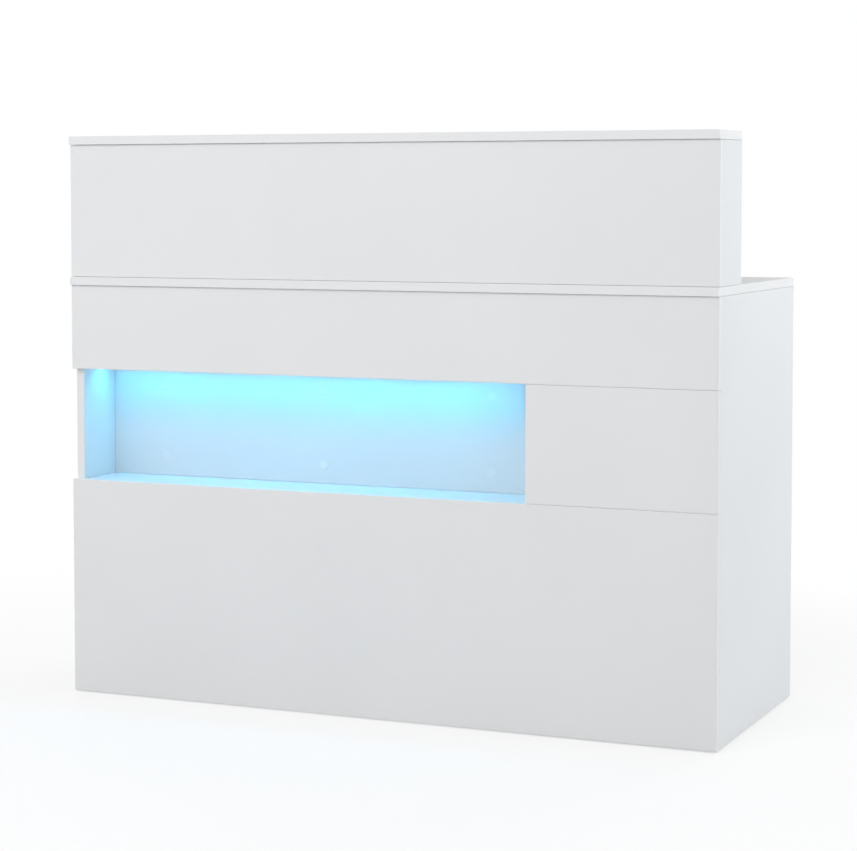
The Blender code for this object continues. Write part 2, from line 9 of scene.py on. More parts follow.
import bmesh
import bpy
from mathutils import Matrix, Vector

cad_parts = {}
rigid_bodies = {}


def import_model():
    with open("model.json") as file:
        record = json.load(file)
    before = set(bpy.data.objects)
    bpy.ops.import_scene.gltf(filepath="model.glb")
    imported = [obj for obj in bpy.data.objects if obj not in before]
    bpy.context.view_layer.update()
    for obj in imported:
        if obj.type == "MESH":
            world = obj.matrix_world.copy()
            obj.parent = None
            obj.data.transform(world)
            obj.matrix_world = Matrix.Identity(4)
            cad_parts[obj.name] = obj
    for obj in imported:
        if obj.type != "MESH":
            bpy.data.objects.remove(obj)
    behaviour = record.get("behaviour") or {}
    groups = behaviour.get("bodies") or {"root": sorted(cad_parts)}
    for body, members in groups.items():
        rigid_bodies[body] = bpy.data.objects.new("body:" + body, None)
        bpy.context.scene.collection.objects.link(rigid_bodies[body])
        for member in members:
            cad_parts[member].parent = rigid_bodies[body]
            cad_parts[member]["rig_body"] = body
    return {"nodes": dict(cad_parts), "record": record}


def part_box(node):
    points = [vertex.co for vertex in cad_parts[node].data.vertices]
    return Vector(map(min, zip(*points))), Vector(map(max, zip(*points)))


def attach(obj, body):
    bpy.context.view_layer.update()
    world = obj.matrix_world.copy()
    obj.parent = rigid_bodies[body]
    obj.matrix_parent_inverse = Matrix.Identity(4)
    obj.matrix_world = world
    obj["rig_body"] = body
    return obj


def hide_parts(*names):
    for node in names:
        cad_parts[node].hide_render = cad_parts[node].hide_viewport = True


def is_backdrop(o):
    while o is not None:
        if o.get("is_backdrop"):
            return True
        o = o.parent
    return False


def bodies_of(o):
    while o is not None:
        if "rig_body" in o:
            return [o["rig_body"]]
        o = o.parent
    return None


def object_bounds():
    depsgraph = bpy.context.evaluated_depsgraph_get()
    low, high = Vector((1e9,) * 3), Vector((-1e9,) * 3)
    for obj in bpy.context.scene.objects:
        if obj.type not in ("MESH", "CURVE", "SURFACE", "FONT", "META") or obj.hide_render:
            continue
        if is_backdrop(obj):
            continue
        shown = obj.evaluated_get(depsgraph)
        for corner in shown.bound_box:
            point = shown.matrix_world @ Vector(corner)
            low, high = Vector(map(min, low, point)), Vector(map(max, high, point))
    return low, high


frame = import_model()
cad_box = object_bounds()

# Camera, at the photograph's angle
CAMERA_PLACE = (1.6436, -3.8282, 0.8993)
CAMERA_TURN = 23.348       # degrees to the left of straight ahead
CAMERA_TILT = -3.357       # degrees above level
CAMERA_LENS = 98.09        # millimetres
CAMERA_SENSOR = 36.0       # millimetres across
CAMERA_SHIFT = -0.1114     # lessens the lean of the desk's upright edges

# Boards
EASED_EDGE = 0.0005
BAND = 0.0014              # thickness of the edge band
GLUE_LINE = 0.00018
BOARD_GLOSS = 0.15
BOARD_ROUGHNESS = 0.60
PEBBLE_SCALE = 820.0
PEBBLE_DEPTH = 0.00018
BOTTOM_LACQUER = (0.0036, 0.0044)    # heights over which a drawer bottom turns from bare to lacquered

# Covers over the cam fasteners
COVER_DIAMETER = 0.018
COVER_INSET = 0.034        # from the end of a board to a cover's middle
PANEL_COVER_HEIGHTS = (0.080, 0.310)
DESKTOP_COVER_DEPTHS = (-0.050, 0.150)
COUNTER_COVER_HEIGHTS = (0.790, 0.945)

# Light strip
DIODE_PITCH = 0.0167
STRIP_GLOW = 70.0
STRIP_AIM = 6.0            # how sharply the strip's light keeps to its underside
SIDE_GLOW = (0.002, 0.030, 0.052)
UNDER_GLOW = (0.016, 0.290, 0.500)
DIODE_GLOW = (0.060, 0.605, 1.000)
END_CAP = 0.003            # length of an end cap
END_CAP_PROUD = 0.0003
CLIP_LENGTH = 0.009
CLIP_WALL = 0.0008
CLIP_FOOT = 0.024          # across both feet of a clip
CLIP_FOOT_HEIGHT = 0.0012
CLIP_SCREW_REACH = 0.36 * CLIP_FOOT
CLIPS = (-0.545, -0.365, -0.180, 0.005, 0.185)

# Controller of the strip
CASE_SEAM = 0.0116         # from the bottom to the seam of its two halves
CASE_SEAM_GAP = 0.0007
CASE_ROUND = 0.0016
CORE_INSET = 0.0010        # from the case to the core that closes the seam
RIBS = 9
RIB_START = 0.016
RIB_PITCH = 0.0045
RIB_INSET = 0.005
RIB_WIDTH = 0.0024
RIB_HEIGHT = 0.0006
GLAND_DIAMETER = 0.009
GLAND_LENGTH = 0.007
GLAND_HEIGHT = 0.010       # from the bottom to the gland's axis

# Bow handles
HANDLE_CENTRES = 0.096
HANDLE_WIDTH = 0.010
HANDLE_THICKNESS = 0.008
HANDLE_BEND = 0.007        # radius at the middle of the bar
HANDLE_EDGE = 0.0016

# Screws: the head's diameter, and its height and the depth of its recess as shares of that
HANDLE_SCREW = (0.0080, 0.34, 0.22)
RUNNER_SCREW = (0.0062, 0.30, 0.20)
BOX_SCREW = (0.0070, 0.08, 0.06)
HINGE_SCREW = (0.0052, 0.024, 0.020)
CLIP_SCREW = (0.0042, 0.30, 0.20)
CATCH_SCREW = (0.0052, 0.26, 0.18)
STRIKE_SCREW = (0.0058, 0.03, 0.025)

# Drawer runners and boxes
SHEET = 0.0012             # steel of the runners
RAIL_SCREW_PLACES = (-0.150, 0.010, 0.170)
SLIDE_SCREW_PLACES = (-0.165, -0.010, 0.180)
RAIL_STOP_DIAMETER = 0.009
RAIL_STOP_INSET = 0.008    # from the rail's end on the visitor's side
BOX_SCREW_BOTTOM = 0.017   # from the bottom of a drawer's side to the lower screw
BOX_SCREW_TOP = 0.012

# Hinges, shelf and bumpers
HINGE_SCREW_PITCH = 0.0175
HINGE_SCREW_INSET = 0.0062
HINGE_LEAF_FACE = 0.0013   # from a board to the outer face of its leaf
PEG_DIAMETER = 0.005
PEG_INNER_INSET = 0.060    # from the shelf's edge on the visitor's side
PEG_OUTER_INSET = 0.045    # from its edge behind the door
BUMPER_DIAMETER = 0.005
BUMPER_INSET = 0.014

# Magnetic catch of the door
CATCH_INSET = 0.012        # from the pedestal's side
CATCH_LENGTH = 0.054       # with its two ears
CATCH_EAR = 0.009
CATCH_DEPTH = 0.014
CATCH_HEIGHT = 0.012
CATCH_GAP = 0.0024         # from the case to the door's inner face
CATCH_ROUND = 0.0012
FLANGE_WIDTH = 0.009
FLANGE_THICKNESS = 0.0022
FLANGE_ROUND = 0.0008
POLE_HEIGHT = 0.0055       # from the case's bottom to halfway between its poles
POLE_SPREAD = 0.0026       # from there to each pole
POLE_THICKNESS = 0.0014
POLE_INSET = 0.004
POLE_DEPTH = 0.006
POLE_PROUD = 0.0007
POLE_ROUND = 0.0003
STRIKE_HEIGHT = 0.011
STRIKE_THICKNESS = 0.0012
STRIKE_PAST = 0.002        # past the case at each end
STRIKE_ROUND = 0.0004

NEAR = 1e-6
SMOOTH_ANGLE = 38          # degrees: a sharper turn between two faces shows as an edge
X, Y, Z = range(3)
LEFT, RIGHT = (-1, 0, 0), (1, 0, 0)
TO_VISITOR, TO_RECEPTIONIST = (0, -1, 0), (0, 1, 0)
DOWN = (0, 0, -1)


class Value:
    """A socket of a node tree that takes part in sums: each one adds a Math node."""

    def __init__(self, tree, socket):
        self.tree = tree
        self.socket = socket

    def output(self, name):
        """Another output of the same node."""
        return Value(self.tree, self.socket.node.outputs[name])

    def math(self, operation, *others):
        return self.tree.math(operation, self, *others)

    def __add__(self, other):
        return self.math("ADD", other)

    def __sub__(self, other):
        return self.math("SUBTRACT", other)

    def __rsub__(self, other):
        return self.tree.math("SUBTRACT", other, self)

    def __mul__(self, other):
        return self.math("MULTIPLY", other)

    def __truediv__(self, other):
        return self.math("DIVIDE", other)

    def __rtruediv__(self, other):
        return self.tree.math("DIVIDE", other, self)

    __radd__ = __add__
    __rmul__ = __mul__

    def least(self, other):
        return self.math("MINIMUM", other)

    def most(self, other):
        return self.math("MAXIMUM", other)

    def rise(self, low, high):
        """0 below low, 1 above high, and a soft step between them."""
        limits = {"Value": self, "From Min": low, "From Max": high}
        return self.tree.add("ShaderNodeMapRange", {"interpolation_type": "SMOOTHSTEP"}, limits)


class Tree:
    """Adds nodes to a node tree: first a node's settings, then the values or links of its sockets."""

    def __init__(self, nodes):
        self.nodes = nodes

    def add(self, kind, settings=None, sockets=None, output=0):
        node = self.nodes.nodes.new(kind)
        for name, value in (settings or {}).items():
            setattr(node, name, value)
        for name, value in (sockets or {}).items():
            if isinstance(value, Value):
                self.nodes.links.new(value.socket, node.inputs[name])
            else:
                node.inputs[name].default_value = value
        return Value(self, node.outputs[output] if node.outputs else None)

    def math(self, operation, *values):
        return self.add("ShaderNodeMath", {"operation": operation}, dict(enumerate(values)))

    def vector(self, x=0.0, y=0.0, z=0.0):
        return self.add("ShaderNodeCombineXYZ", None, {"X": x, "Y": y, "Z": z})

    def axis(self, place, axis):
        """One of the three numbers of a place."""
        return self.add("ShaderNodeSeparateXYZ", None, {"Vector": place}, output=axis)

    def stretch(self, place, scale):
        """A place with its three axes scaled each by its own number."""
        return self.add("ShaderNodeVectorMath", {"operation": "MULTIPLY"}, {0: place, 1: scale})

    def blend(self, share, first, second):
        """A colour between two others."""
        sockets = {0: share, 6: first, 7: second}
        return self.add("ShaderNodeMix", {"data_type": "RGBA"}, sockets, output=2)

    def noise(self, place, scale, detail=2.0, roughness=0.5):
        sockets = {"Vector": place, "Scale": scale, "Detail": detail, "Roughness": roughness}
        return self.add("ShaderNodeTexNoise", None, sockets)

    def bump(self, height, strength, distance):
        sockets = {"Height": height, "Strength": strength, "Distance": distance}
        return self.add("ShaderNodeBump", None, sockets)


def new_finish(name):
    """A material with no nodes yet, and the tree to fill."""
    material = bpy.data.materials.new(name)
    material.use_nodes = True
    material.node_tree.nodes.clear()
    return material, Tree(material.node_tree)


def surface(tree, **sockets):
    """The material's one glossy surface, by the names of its sockets."""
    named = {}
    for name, value in sockets.items():
        named[name.replace("_", " ").title().replace("Ior", "IOR")] = value
    shader = tree.add("ShaderNodeBsdfPrincipled", None, named)
    tree.add("ShaderNodeOutputMaterial", None, {"Surface": shader})


def paint(red, green, blue):
    return (red, green, blue, 1.0)


def neutral(level):
    return paint(level, level, level)


def shade(colour, share):
    """A colour of three numbers made darker, as a socket takes it."""
    return paint(*[share * part for part in colour])


def object_place(tree):
    return tree.add("ShaderNodeTexCoord", output="Object")


def rim_distance(tree, place, box):
    """How far a point of a board lies from the nearest of its four narrow edges."""
    low, high = box
    thin = min((X, Y, Z), key=lambda axis: high[axis] - low[axis])
    rims = []
    for axis in (X, Y, Z):
        if axis != thin:
            along = tree.axis(place, axis)
            rims.append((along - low[axis]).least(high[axis] - along))
    return rims[0].least(rims[1])


def board_finish(name, box, face, band_colour):
    """Melamine-faced board: a finely pebbled face, and a smoother band glued round its narrow edges."""
    material, tree = new_finish(name)
    place = object_place(tree)
    rim = rim_distance(tree, place, box)
    band = 1 - rim.rise(BAND - GLUE_LINE, BAND)
    glue = (rim - BAND).math("ABSOLUTE").rise(0.0, GLUE_LINE)

    clouds = tree.noise(place, 3.5, 3.0)
    smudges = tree.noise(place, 14.0, 4.0, 0.6)
    pebble = tree.noise(place, PEBBLE_SCALE, 2.0, 0.6)
    colour = tree.blend(clouds.rise(0.3, 0.7), shade(face, 0.982), paint(*face))
    colour = tree.blend(band, colour, paint(*band_colour))
    colour = tree.blend(glue, shade(face, 0.86), colour)
    surface(
        tree,
        base_color=colour,
        roughness=BOARD_ROUGHNESS + 0.08 * (smudges - 0.5) - 0.06 * band,
        specular_ior_level=BOARD_GLOSS,
        normal=tree.bump(pebble * (1 - band) + glue * 0.4, 0.60, PEBBLE_DEPTH),
    )
    return material


WHITE_FACE = (0.748, 0.754, 0.763)
WHITE_BAND = (0.753, 0.758, 0.767)
DRAWER_FACE = (0.715, 0.722, 0.732)
DRAWER_BAND = (0.722, 0.728, 0.737)


def white_board(node):
    return board_finish(f"white_board_{node}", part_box(node), WHITE_FACE, WHITE_BAND)


def drawer_board(node):
    return board_finish(f"drawer_board_{node}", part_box(node), DRAWER_FACE, DRAWER_BAND)


def drawer_bottom(node):
    """Thin fibre board, lacquered white on its upper face and bare brown on the rest."""
    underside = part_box(node)[0][Z]
    material, tree = new_finish(f"hardboard_{node}")
    place = object_place(tree)
    lacquer = (tree.axis(place, Z) - underside).rise(*BOTTOM_LACQUER)
    fibre = tree.noise(tree.stretch(place, (260.0, 420.0, 900.0)), 1.0, 6.0, 0.7)
    screen = tree.noise(place, 900.0, 1.0)
    bare = tree.blend(fibre.rise(0.3, 0.7), paint(0.150, 0.086, 0.045), paint(0.270, 0.170, 0.095))
    white = tree.blend(fibre.rise(0.35, 0.65), paint(0.700, 0.705, 0.712), paint(0.735, 0.740, 0.746))
    surface(
        tree,
        base_color=tree.blend(lacquer, bare, white),
        roughness=0.78 - 0.36 * lacquer + 0.10 * (fibre - 0.5),
        normal=tree.bump(fibre * (1 - lacquer * 0.8) + screen * 0.3, 0.25, 0.00015),
    )
    return material


def strip_sleeve(name, box):
    """Milky sleeve that glows little at its sides, more below, and most right under each diode."""
    low, high = box
    material, tree = new_finish(name)
    place = object_place(tree)
    phase = ((tree.axis(place, X) - low[X]) / DIODE_PITCH).math("FRACT")
    height = (tree.axis(place, Z) - low[Z]).rise(0.0, high[Z] - low[Z])
    under = (1 - height).math("POWER", STRIP_AIM)
    dot = under * (1 - (phase - 0.5).math("ABSOLUTE").rise(0.10, 0.42))
    sleeve = tree.blend(under, paint(*SIDE_GLOW), paint(*UNDER_GLOW))
    glow = tree.blend(dot, sleeve, paint(*DIODE_GLOW))
    surface(
        tree,
        # base colour: painted glow, bluish all over and paler right over each diode, following the diodes'
        # emission
        base_color=tree.blend(dot, paint(0.70, 0.84, 0.90), paint(0.86, 0.95, 1.0)),
        roughness=0.35 + 0.1 * tree.noise(place, 220.0),
        emission_color=glow,
        emission_strength=STRIP_GLOW,
    )
    return material


SATIN_NICKEL = (0.600, 0.592, 0.575)
ZINC = (0.560, 0.572, 0.590)
BLUE_ZINC = (0.560, 0.575, 0.600)
STRAW_ZINC = (0.640, 0.625, 0.590)


def brushed_metal(name, along):
    """Satin metal with fine brush lines that run along one axis."""
    material, tree = new_finish(name)
    place = object_place(tree)
    across = [2600.0, 2600.0, 2600.0]
    across[along] = 36.0
    lines = tree.noise(tree.stretch(place, across), 1.0, 3.0, 0.65)
    wear = tree.noise(place, 55.0, 3.0)
    surface(
        tree,
        base_color=tree.blend(lines.rise(0.25, 0.75), shade(SATIN_NICKEL, 0.86), paint(*SATIN_NICKEL)),
        roughness=0.27 + 0.14 * lines + 0.08 * (wear - 0.5),
        metallic=1.0,
        normal=tree.bump(lines, 0.10, 0.00006),
    )
    return material


def lathe_metal(name, axis_place):
    """Satin metal with turning marks round an axis that runs along Y."""
    material, tree = new_finish(name)
    place = object_place(tree)
    reach_x = tree.axis(place, X) - axis_place[X]
    reach_z = tree.axis(place, Z) - axis_place[Z]
    radius = (reach_x * reach_x + reach_z * reach_z).math("SQRT")
    marks = tree.noise(tree.vector(radius * 9000.0, tree.axis(place, Y) * 4000.0), 1.0, 2.0)
    wear = tree.noise(place, 160.0, 3.0)
    surface(
        tree,
        base_color=tree.blend(wear.rise(0.3, 0.7), shade(SATIN_NICKEL, 0.90), paint(*SATIN_NICKEL)),
        roughness=0.22 + 0.14 * marks + 0.08 * (wear - 0.5),
        metallic=1.0,
        normal=tree.bump(marks, 0.14, 0.00005),
    )
    return material


def stamped_metal(name):
    """Pressed and tumbled nickel, as on hinges and a lock's plug."""
    material, tree = new_finish(name)
    place = object_place(tree)
    grain = tree.noise(place, 1100.0, 3.0, 0.6)
    stains = tree.noise(place, 130.0, 4.0)
    surface(
        tree,
        base_color=tree.blend(stains.rise(0.3, 0.7), shade(SATIN_NICKEL, 0.88), paint(*SATIN_NICKEL)),
        roughness=0.30 + 0.12 * (grain - 0.5) + 0.10 * (stains - 0.5),
        metallic=1.0,
        normal=tree.bump(grain, 0.10, 0.00005),
    )
    return material


def zinc_steel(name):
    """Zinc-plated sheet: pale crystals, and fine rolling lines along Y."""
    material, tree = new_finish(name)
    place = object_place(tree)
    crystals = tree.add("ShaderNodeTexVoronoi", None, {"Vector": place, "Scale": 190.0}, output="Color")
    crystal = tree.add("ShaderNodeSeparateColor", None, {"Color": crystals})
    lines = tree.noise(tree.stretch(place, (2400.0, 30.0, 2400.0)), 1.0, 2.0)
    surface(
        tree,
        base_color=tree.blend(crystal, shade(ZINC, 0.92), paint(*ZINC)),
        roughness=0.29 + 0.06 * crystal + 0.08 * lines,
        metallic=1.0,
        normal=tree.bump(lines * 0.7 + crystal * 0.3, 0.06, 0.00006),
    )
    return material


def bright_zinc(name):
    """Thin clear plating of screws, with a faint change of tint."""
    material, tree = new_finish(name)
    place = object_place(tree)
    tint = tree.noise(place, 210.0, 2.0)
    grain = tree.noise(place, 1500.0, 2.0)
    surface(
        tree,
        base_color=tree.blend(tint.rise(0.3, 0.7), paint(*BLUE_ZINC), paint(*STRAW_ZINC)),
        roughness=0.24 + 0.14 * grain,
        metallic=1.0,
        normal=tree.bump(grain, 0.06, 0.00004),
    )
    return material


def moulded_plastic(name, colour, roughness, texture):
    """Moulded plastic with a fine texture, and slow changes of gloss."""
    material, tree = new_finish(name)
    place = object_place(tree)
    grain = tree.noise(place, 1700.0, 2.0)
    flow = tree.noise(place, 60.0, 3.0)
    surface(
        tree,
        base_color=tree.blend(flow.rise(0.3, 0.7), shade(colour, 0.96), paint(*colour)),
        roughness=roughness + 0.10 * (grain - 0.5) + 0.06 * (flow - 0.5),
        normal=tree.bump(grain, texture, 0.00006),
    )
    return material


def add_to_scene(name, mesh):
    made = bpy.data.objects.new(name, mesh)
    bpy.context.scene.collection.objects.link(made)
    return made


def as_mesh(shape, name):
    """A mesh from a bmesh, with its faces turned outwards."""
    bmesh.ops.recalc_face_normals(shape, faces=shape.faces)
    mesh = bpy.data.meshes.new(name)
    shape.to_mesh(mesh)
    shape.free()
    return mesh


def round_off(mesh):
    """Shades curved faces as curved, and keeps the edges that are edges."""
    mesh.shade_smooth()
    mesh.set_sharp_from_angle(angle=math.radians(SMOOTH_ANGLE))


def fit(piece, body, slot, *replaced):
    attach(piece, body)
    if replaced:
        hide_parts(*replaced)


def middle_of(node):
    low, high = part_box(node)
    return (Vector(low) + Vector(high)) / 2


def body_of(node):
    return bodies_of(frame["nodes"][node])[0]


def nodes_with(slot):
    return [part["node"] for part in frame["record"]["subparts"] if part["material_slot"] == slot]


def runs_along_outline(edge, low, high):
    """True for an edge that lies on one of the twelve outer edges of a board."""
    first, second = (corner.co for corner in edge.verts)
    held = 0
    for axis in (X, Y, Z):
        for limit in (low[axis], high[axis]):
            held += max(abs(first[axis] - limit), abs(second[axis] - limit)) < NEAR * 10
    return held == 2


def ease_board(node, slot, finish):
    """The board as it leaves the edge bander: its outer edges are slightly rounded."""
    low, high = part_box(node)
    shape = bmesh.new()
    shape.from_mesh(frame["nodes"][node].data)
    bmesh.ops.remove_doubles(shape, verts=shape.verts, dist=NEAR)
    bmesh.ops.dissolve_limit(shape, angle_limit=0.01, verts=shape.verts, edges=shape.edges)
    outline = [edge for edge in shape.edges if runs_along_outline(edge, low, high)]
    bmesh.ops.bevel(
        shape, geom=outline, offset=EASED_EDGE, offset_type="OFFSET", segments=2, profile=0.5,
        affect="EDGES", clamp_overlap=True,
    )
    board = add_to_scene(f"banded_{node}", as_mesh(shape, node))
    board.data.materials.append(finish)
    fit(board, body_of(node), slot, node)


def add_boards():
    for node in nodes_with("white_board"):
        ease_board(node, "white_board", white_board(node))
    for node in nodes_with("drawer_board"):
        if not node.endswith("_bottom"):
            ease_board(node, "drawer_board", drawer_board(node))


def turned_shape(profile, sides, hollow=False):
    """Turns a profile of (radius, height) pairs round the Z axis; a hollow one joins its ends."""
    shape = bmesh.new()
    rings = []
    for radius, height in profile:
        if radius == 0:
            rings.append([shape.verts.new((0, 0, height))] * sides)
            continue
        ring = []
        for step in range(sides):
            angle = 2 * math.pi * step / sides
            ring.append(shape.verts.new((radius * math.cos(angle), radius * math.sin(angle), height)))
        rings.append(ring)
    pairs = list(zip(rings, rings[1:]))
    if hollow:
        pairs.append((rings[-1], rings[0]))
    for lower, upper in pairs:
        for step in range(sides):
            following = (step + 1) % sides
            corners = [lower[step], lower[following], upper[following], upper[step]]
            shape.faces.new(dict.fromkeys(corners))
    for ring in (rings[0], rings[-1]):
        if not hollow and ring[0] is not ring[1]:
            shape.faces.new(ring)
    return shape


def cross_outline(reach, half_width, height):
    """The outline of a cross, as twelve places in a ring."""
    corners = []
    for quarter in range(4):
        angle = quarter * math.pi / 2
        for out, aside in ((half_width, -half_width), (reach, -half_width), (reach, half_width)):
            x = out * math.cos(angle) - aside * math.sin(angle)
            y = out * math.sin(angle) + aside * math.cos(angle)
            corners.append((x, y, height))
    return corners


def screw_head(height, recess_depth):
    """A screw head one unit across, with rounded shoulders and a cross recess."""
    rim = 0.5
    shoulder = 0.40
    recess_top = (0.27, 0.055)
    recess_foot = (0.20, 0.030)
    shape = turned_shape([(rim, 0), (rim, 0.45 * height), (shoulder, height)], sides=20)
    top = max(shape.faces, key=lambda face: face.calc_center_median().z)
    outer = list(top.edges)
    shape.faces.remove(top)
    upper = [shape.verts.new(place) for place in cross_outline(*recess_top, height)]
    lower = [shape.verts.new(place) for place in cross_outline(*recess_foot, height - recess_depth)]
    inner = []
    for step, corner in enumerate(upper):
        following = (step + 1) % len(upper)
        inner.append(shape.edges.new((corner, upper[following])))
        shape.faces.new((corner, upper[following], lower[following], lower[step]))
    shape.faces.new(lower)
    bmesh.ops.triangle_fill(shape, use_beauty=True, edges=outer + inner)
    return shape


def cover_cap():
    """A cam cover one unit across: a nearly flat face with a rounded rim, and the plug that holds it."""
    profile = [
        (0, 0.056), (0.30, 0.055), (0.455, 0.052), (0.484, 0.045), (0.497, 0.032), (0.5, 0.016),
        (0.5, 0.0), (0.38, 0.0), (0.37, -0.10), (0, -0.10),
    ]
    return turned_shape(profile, sides=36)


def shelf_peg():
    """A shelf peg one unit across: a plain pin with a groove near the wall and a rounded end."""
    profile = [
        (0, 0), (0.5, 0), (0.5, 0.24), (0.43, 0.28), (0.43, 0.36), (0.5, 0.40), (0.5, 1.50),
        (0.42, 1.62), (0, 1.66),
    ]
    return turned_shape(profile, sides=20)


def soft_bumper():
    """A stick-on bumper one unit across: a short wall and a low dome."""
    profile = [(0, 0), (0.5, 0), (0.49, 0.08), (0.42, 0.20), (0.25, 0.28), (0, 0.31)]
    return turned_shape(profile, sides=20)


def new_shape_tree(name, inputs):
    """A geometry tree with named inputs, and the node that gives them."""
    group = bpy.data.node_groups.new(name, "GeometryNodeTree")
    group.interface.new_socket("Geometry", in_out="INPUT", socket_type="NodeSocketGeometry")
    for title, kind in inputs.items():
        group.interface.new_socket(title, in_out="INPUT", socket_type=f"NodeSocket{kind}")
    group.interface.new_socket("Geometry", in_out="OUTPUT", socket_type="NodeSocketGeometry")
    tree = Tree(group)
    return tree, tree.add("NodeGroupInput")


def close_tree(tree, given, geometry):
    """Ends a geometry tree in plain geometry that wears the finish it was given."""
    whole = tree.add("GeometryNodeRealizeInstances", None, {"Geometry": geometry})
    finish = given.output("Finish")
    dressed = tree.add("GeometryNodeSetMaterial", None, {"Geometry": whole, "Material": finish})
    tree.add("NodeGroupOutput", None, {"Geometry": dressed})
    return tree.nodes


def fittings_tree():
    """Sets one shape at every point, turned to face the way that the point says."""
    inputs = {"Shape": "Object", "Diameter": "Float", "Finish": "Material"}
    tree, given = new_shape_tree("fittings", inputs)
    direction = {"data_type": "FLOAT_VECTOR"}
    facing = tree.add("GeometryNodeInputNamedAttribute", direction, {"Name": "facing"})
    turn = tree.add("FunctionNodeAlignRotationToVector", {"axis": "Z"}, {"Vector": facing})
    shape = tree.add(
        "GeometryNodeObjectInfo", {"transform_space": "ORIGINAL"},
        {"Object": given.output("Shape"), "As Instance": True}, output="Geometry",
    )
    diameter = given.output("Diameter")
    size = tree.vector(diameter, diameter, diameter)
    placed = tree.add(
        "GeometryNodeInstanceOnPoints", None,
        {"Points": given.output("Geometry"), "Instance": shape, "Rotation": turn, "Scale": size},
    )
    return close_tree(tree, given, placed)


def half_round_tree():
    """Sweeps a half-round profile along every line; its flat side is up, or down after half a turn."""
    inputs = {"Width": "Float", "Height": "Float", "Turn": "Float", "Finish": "Material"}
    tree, given = new_shape_tree("half_round", inputs)
    path = tree.add("GeometryNodeMeshToCurve", None, {0: given.output("Geometry")})
    path = tree.add("GeometryNodeSetCurveNormal", {"mode": "Z_UP"}, {0: path})
    arc = tree.add(
        "GeometryNodeCurveArc", {"mode": "RADIUS"},
        {"Resolution": 13, "Radius": 0.5, "Start Angle": 0.0, "Sweep Angle": math.pi},
    )
    closed = tree.add("GeometryNodeSetSplineCyclic", None, {0: arc, "Cyclic": True})
    profile = tree.add(
        "GeometryNodeTransform", None,
        {
            "Geometry": closed,
            "Rotation": tree.vector(z=given.output("Turn")),
            "Scale": tree.vector(given.output("Width"), given.output("Height") * 2, 1.0),
        },
    )
    sweep = {"Curve": path, "Profile Curve": profile, "Fill Caps": True}
    return close_tree(tree, given, tree.add("GeometryNodeCurveToMesh", None, sweep))


def bow_handle_tree():
    """A bar bent to a bow: its two feet stand on a front, and its profile has rounded edges."""
    sizes = ("Centres", "Projection", "Width", "Thickness", "Bend", "Edge", "Turn")
    inputs = {title: "Float" for title in sizes}
    tree, given = new_shape_tree("bow_handle", {**inputs, "Middle": "Vector", "Finish": "Material"})
    half = given.output("Centres") / 2
    bar = given.output("Projection") - given.output("Thickness") / 2
    corners = {
        "Point 1": tree.vector(-1 * half),
        "Point 2": tree.vector(-1 * half, bar),
        "Point 3": tree.vector(half, bar),
        "Point 4": tree.vector(half),
    }
    path = tree.add("GeometryNodeCurvePrimitiveQuadrilateral", {"mode": "POINTS"}, corners)
    path = tree.add("GeometryNodeSetSplineCyclic", None, {0: path, "Cyclic": False})
    bend = {"Curve": path, "Count": 7, "Radius": given.output("Bend")}
    path = tree.add("GeometryNodeFilletCurve", {"mode": "POLY"}, bend)
    path = tree.add("GeometryNodeSetCurveNormal", {"mode": "Z_UP"}, {0: path})
    flat = {"Width": given.output("Thickness"), "Height": given.output("Width")}
    profile = tree.add("GeometryNodeCurvePrimitiveQuadrilateral", {"mode": "RECTANGLE"}, flat)
    edge = {"Curve": profile, "Count": 4, "Radius": given.output("Edge")}
    profile = tree.add("GeometryNodeFilletCurve", {"mode": "POLY"}, edge)
    sweep = {"Curve": path, "Profile Curve": profile, "Fill Caps": True}
    bow = tree.add("GeometryNodeCurveToMesh", None, sweep)
    placing = {
        "Geometry": bow,
        "Translation": given.output("Middle"),
        "Rotation": tree.vector(y=given.output("Turn")),
    }
    return close_tree(tree, given, tree.add("GeometryNodeTransform", None, placing))


def seed_mesh(name, places, lines=(), facings=()):
    """The points or lines that a geometry tree grows from, and the way that each point faces."""
    mesh = bpy.data.meshes.new(name)
    mesh.from_pydata([tuple(place) for place in places], lines, [])
    if facings:
        facing = mesh.attributes.new("facing", "FLOAT_VECTOR", "POINT")
        for point, direction in zip(facing.data, facings):
            point.vector = direction
    return mesh


def grow(name, seed, group, values):
    """The plain mesh that a geometry tree makes of a seed."""
    made = add_to_scene(name, seed)
    modifier = made.modifiers.new("shape", "NODES")
    modifier.node_group = group
    for socket in group.interface.items_tree:
        if socket.in_out == "INPUT" and socket.name in values:
            modifier[socket.identifier] = values[socket.name]
    evaluated = made.evaluated_get(bpy.context.evaluated_depsgraph_get())
    grown = bpy.data.meshes.new_from_object(evaluated)
    made.modifiers.clear()
    made.data = grown
    shape = bmesh.new()
    shape.from_mesh(grown)
    bmesh.ops.remove_doubles(shape, verts=shape.verts, dist=NEAR)
    bmesh.ops.recalc_face_normals(shape, faces=shape.faces)
    shape.to_mesh(grown)
    shape.free()
    if "facing" in grown.attributes:
        grown.attributes.remove(grown.attributes["facing"])
    round_off(grown)
    return made


FITTINGS = fittings_tree()
HALF_ROUND = half_round_tree()
BOW_HANDLE = bow_handle_tree()


def set_fittings(name, shape, diameter, finish, spots):
    """The same fitting at every spot: a spot is a place on a face and the way that the face looks."""
    sample = add_to_scene("fitting_sample", as_mesh(shape, "fitting_sample"))
    places, facings = zip(*spots)
    seed = seed_mesh(name, places, facings=facings)
    made = grow(name, seed, FITTINGS, {"Shape": sample, "Diameter": diameter, "Finish": finish})
    bpy.data.objects.remove(sample)
    return made


